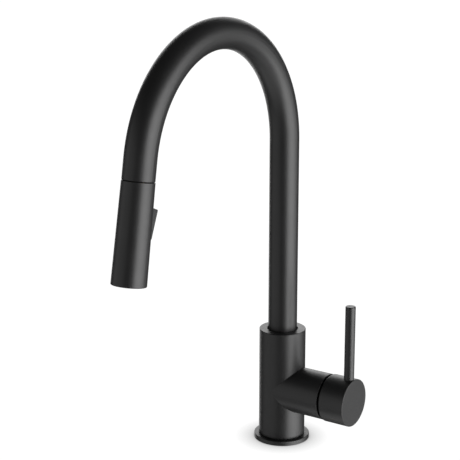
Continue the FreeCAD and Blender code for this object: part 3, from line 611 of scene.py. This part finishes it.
def add_hose_stretch(radius, step, top):
    """The last of the hose, packed close in the dock so that its braid is even when pulled right out."""
    turn = wand.to_3x3().to_4x4()
    down = turn.to_3x3().col[2]
    end = wand @ Vector((0, 0, extent("hose_end_fitting", wand)[0].z))
    start = end - down * STRETCH_LENGTH
    pull = joint("wand_pull")["range_m"][1]
    count = math.ceil((STRETCH_LENGTH + pull) / step)
    stations = []
    for index in range(count + 1):
        share = packed_share(index / count, pull)
        on_line = start + down * (share * STRETCH_LENGTH)
        beside = gooseneck(top + share * STRETCH_LENGTH).translation - on_line
        centre = on_line + beside - down * beside.dot(down)
        stations.append((Matrix.Translation(centre) @ turn, (STRETCH_LENGTH + pull) * index / count, 1))
    piece = add_hose_piece("hose_stretch", radius, stations)
    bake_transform(piece)


def packed_share(share, pull):
    """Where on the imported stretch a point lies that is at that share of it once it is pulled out."""
    low, high = 0.0, 1.0
    for _ in range(HALVINGS):
        middle = (low + high) / 2
        reach = STRETCH_LENGTH * middle + pull * middle * middle * (3 - 2 * middle)
        if reach < share * (STRETCH_LENGTH + pull):
            low = middle
        else:
            high = middle
    return (low + high) / 2


# ---- spray button ----

BUTTON_HALF = 9 * MM
BUTTON_INSIDE = 10.8 * MM
BUTTON_ROOT = 21.3 * MM
BUTTON_TIP = 23.4 * MM
BUTTON_END = 49 * MM
BUTTON_PROUD = 20.4 * MM
BUTTON_FLUSH = 15.15 * MM
BUTTON_CROWN = 19.6 * MM
BUTTON_CORNER = 1.2 * MM
BUTTON_CORNER_STEPS = 4
BUTTON_EDGE = 0.4 * MM
BUTTON_SPACING = 1.5 * MM
# each block: half its width, its depth nearest the wand's axis, and where it starts and ends along it
HINGE_LUG = (9 * MM, 7.7 * MM, 44.1 * MM, 47.9 * MM)
TONGUE = (2.5 * MM, 10.45 * MM, 27.5 * MM, 32.5 * MM)
BLOCK_ROUND = 0.5 * MM
BLOCK_LAP = 0.5 * MM
EDGE_STEPS = 5
FACE_STEPS = 7


def button_outline():
    """The button's outline as seen from the riser: (across, along the wand), with round corners."""
    corners = [(-BUTTON_HALF, BUTTON_TIP), (BUTTON_HALF, BUTTON_TIP), (BUTTON_HALF, BUTTON_END),
               (-BUTTON_HALF, BUTTON_END)]
    bent = softened(corners, BUTTON_CORNER, BUTTON_CORNER_STEPS)
    outline = []
    for index, point in enumerate(bent):
        after = bent[(index + 1) % len(bent)]
        parts = max(1, round((after - point).length / BUTTON_SPACING))
        outline += [point.lerp(after, part / parts) for part in range(parts)]
    return outline


def button_face(across, along):
    """How far the crowned face lies behind the wand's axis."""
    share = (along - BUTTON_TIP) / (BUTTON_END - BUTTON_TIP)
    radius = BUTTON_CROWN + BUTTON_PROUD + (BUTTON_FLUSH - BUTTON_PROUD) * share
    return math.sqrt(radius * radius - across * across) - BUTTON_CROWN


def button_block(half, near, low, high):
    """A block on the inside of the button, from a depth near the wand's axis out into the wedge."""
    outline = softened([(-half, low), (half, low), (half, high), (-half, high)], BLOCK_ROUND)
    depths = (near, BUTTON_INSIDE + BLOCK_LAP)
    return skin([[wand @ Vector((point.x, -depth, point.y)) for point in outline] for depth in depths])


def add_button():
    """A crowned wedge with a fine rolled edge, proud at its top and flush at its hinge.

    Its lug turns on the hinge pin and its tongue pushes the diverter."""
    outline = button_outline()
    middle = Vector((0, (BUTTON_TIP + BUTTON_END) / 2))

    def ring(inset, depth, lift):
        points = []
        for point in outline:
            across, along = middle + (point - middle) * (1 - inset / BUTTON_HALF)
            rise = lift * (BUTTON_END - along) / (BUTTON_END - BUTTON_TIP)
            points.append(wand @ Vector((across, -depth(across, along), along - rise)))
        return points

    rings = [ring(0, lambda across, along: BUTTON_INSIDE, BUTTON_TIP - BUTTON_ROOT)]
    for step in range(EDGE_STEPS + 1):
        turn = math.radians(90) * step / EDGE_STEPS
        sink = BUTTON_EDGE * (1 - math.sin(turn))
        rings.append(ring(BUTTON_EDGE * (1 - math.cos(turn)), lambda x, z: button_face(x, z) - sink, 0))
    for step in range(1, FACE_STEPS):
        rings.append(ring(BUTTON_EDGE + (BUTTON_HALF - BUTTON_EDGE) * step / FACE_STEPS, button_face, 0))
    shape = merged([skin(rings), button_block(*HINGE_LUG), button_block(*TONGUE)])
    add_piece("button_wedge", shape, "black_plastic", "spray_button", "button")


# ---- spray face ----

NOZZLE_CIRCLES = {8 * MM: 10, 11.2 * MM: 16}
NOZZLE_RADIUS = 0.8 * MM
NOZZLE_TIP = 0.56 * MM
NOZZLE_MOUTH = 0.32 * MM
NOZZLE_TAPER = 0.7 * MM
NOZZLE_DEPTH = 1.6 * MM
NOZZLE_LIP = 0.1 * MM
NOZZLE_SEGMENTS = 20
PAD_INNER = 6.1 * MM
PAD_THICKNESS = 1.2 * MM
PAD_ROUND = 0.3 * MM
CELL_PITCH = 1.3 * MM
CELL_WALL = 0.26 * MM
CELL_SINK = 0.25 * MM
RIM_WIDTH = 0.75 * MM
RIM_ROUND = RIM_WIDTH / 4


def add_nozzles():
    """A soft pad with a tapered, holed tip for each jet."""
    low, high = extent("spray_nozzles", wand)
    pad_top, tip = low.z + PAD_THICKNESS, high.z
    section = [(high.x, low.z), (high.x, pad_top), (PAD_INNER, pad_top), (PAD_INNER, low.z)]
    shapes = [skin(turned(softened(section, PAD_ROUND), wand), closed=True)]
    profile = [(NOZZLE_RADIUS, pad_top - PAD_ROUND), (NOZZLE_RADIUS, tip - NOZZLE_TAPER),
               (NOZZLE_TIP + NOZZLE_LIP, tip - NOZZLE_LIP), (NOZZLE_TIP, tip),
               (NOZZLE_MOUTH + NOZZLE_LIP, tip), (NOZZLE_MOUTH, tip - NOZZLE_LIP),
               (NOZZLE_MOUTH, tip - NOZZLE_DEPTH)]
    for circle, count in NOZZLE_CIRCLES.items():
        for index in range(count):
            angle = 2 * math.pi * index / count
            place = wand @ Matrix.Translation((circle * math.cos(angle), circle * math.sin(angle), 0))
            shapes.append(skin(turned(profile, place, NOZZLE_SEGMENTS)))
    add_piece("spray_tips", merged(shapes), "grey_rubber", "spray_nozzles", "wand")


def honeycomb(radius, low, high):
    """A plate of open hexagonal cells, with an outer wall where a cell has no neighbour."""
    reach = math.ceil(radius / CELL_PITCH)
    pairs = [(i, j) for i in range(-reach, reach + 1) for j in range(-reach, reach + 1)]
    slant, up = Vector((math.cos(HEX / 2), math.sin(HEX / 2))) * CELL_PITCH, Vector((0, CELL_PITCH))
    cells = {(i, j): slant * i + up * j for i, j in pairs if (slant * i + up * j).length <= radius}
    beyond_side = [(1, 0), (0, 1), (-1, 1), (-1, 0), (0, -1), (1, -1)]
    points, faces, known = [], [], {}

    def corner(cell, apothem, turn, height):
        angle = HEX * turn
        spot = cells[cell] + Vector((math.cos(angle), math.sin(angle))) * hexagon(angle, apothem)
        # corners within a thousandth of a millimetre are the same one
        key = (round(spot.x / MM, 3), round(spot.y / MM, 3), height)
        if key not in known:
            known[key] = len(points)
            points.append(wand @ Vector((*spot, height)))
        return known[key]

    outer, inner = CELL_PITCH / 2, (CELL_PITCH - CELL_WALL) / 2
    for i, j in cells:
        for side, (across, along) in enumerate(beyond_side):
            def edge(apothem, height):
                return [corner((i, j), apothem, side, height), corner((i, j), apothem, side + 1, height)]
            faces.append(edge(outer, high) + edge(inner, high)[::-1])
            faces.append(edge(inner, low) + edge(outer, low)[::-1])
            faces.append(edge(inner, high) + edge(inner, low)[::-1])
            if (i + across, j + along) not in cells:
                faces.append(edge(outer, low) + edge(outer, high)[::-1])
    return points, faces


def add_aerator():
    """A thin rim round a honeycomb that sits a little below both of its ends."""
    low, high = extent("aerator_insert", wand)
    inside = high.x - RIM_WIDTH
    section = [(high.x, low.z), (high.x, high.z), (inside, high.z), (inside, low.z)]
    rim = skin(turned(softened(section, RIM_ROUND), wand), closed=True)
    cells = honeycomb(inside, low.z + CELL_SINK, high.z - CELL_SINK)
    add_piece("aerator_comb", merged([rim, cells]), "cartridge_plastic", "aerator_insert", "wand")


# ---- the scene ----

add_camera()
add_world()
add_floor()
for box_name, window in SOFTBOXES.items():
    add_softbox(box_name, *window)
bpy.context.scene.view_settings.view_transform = "Standard"

wand = wand_frame()
materials = slot_materials()
dress_nodes()
add_studs()
add_nuts()
add_retaining_screw()
add_hose()
add_button()
add_nozzles()
add_aerator()
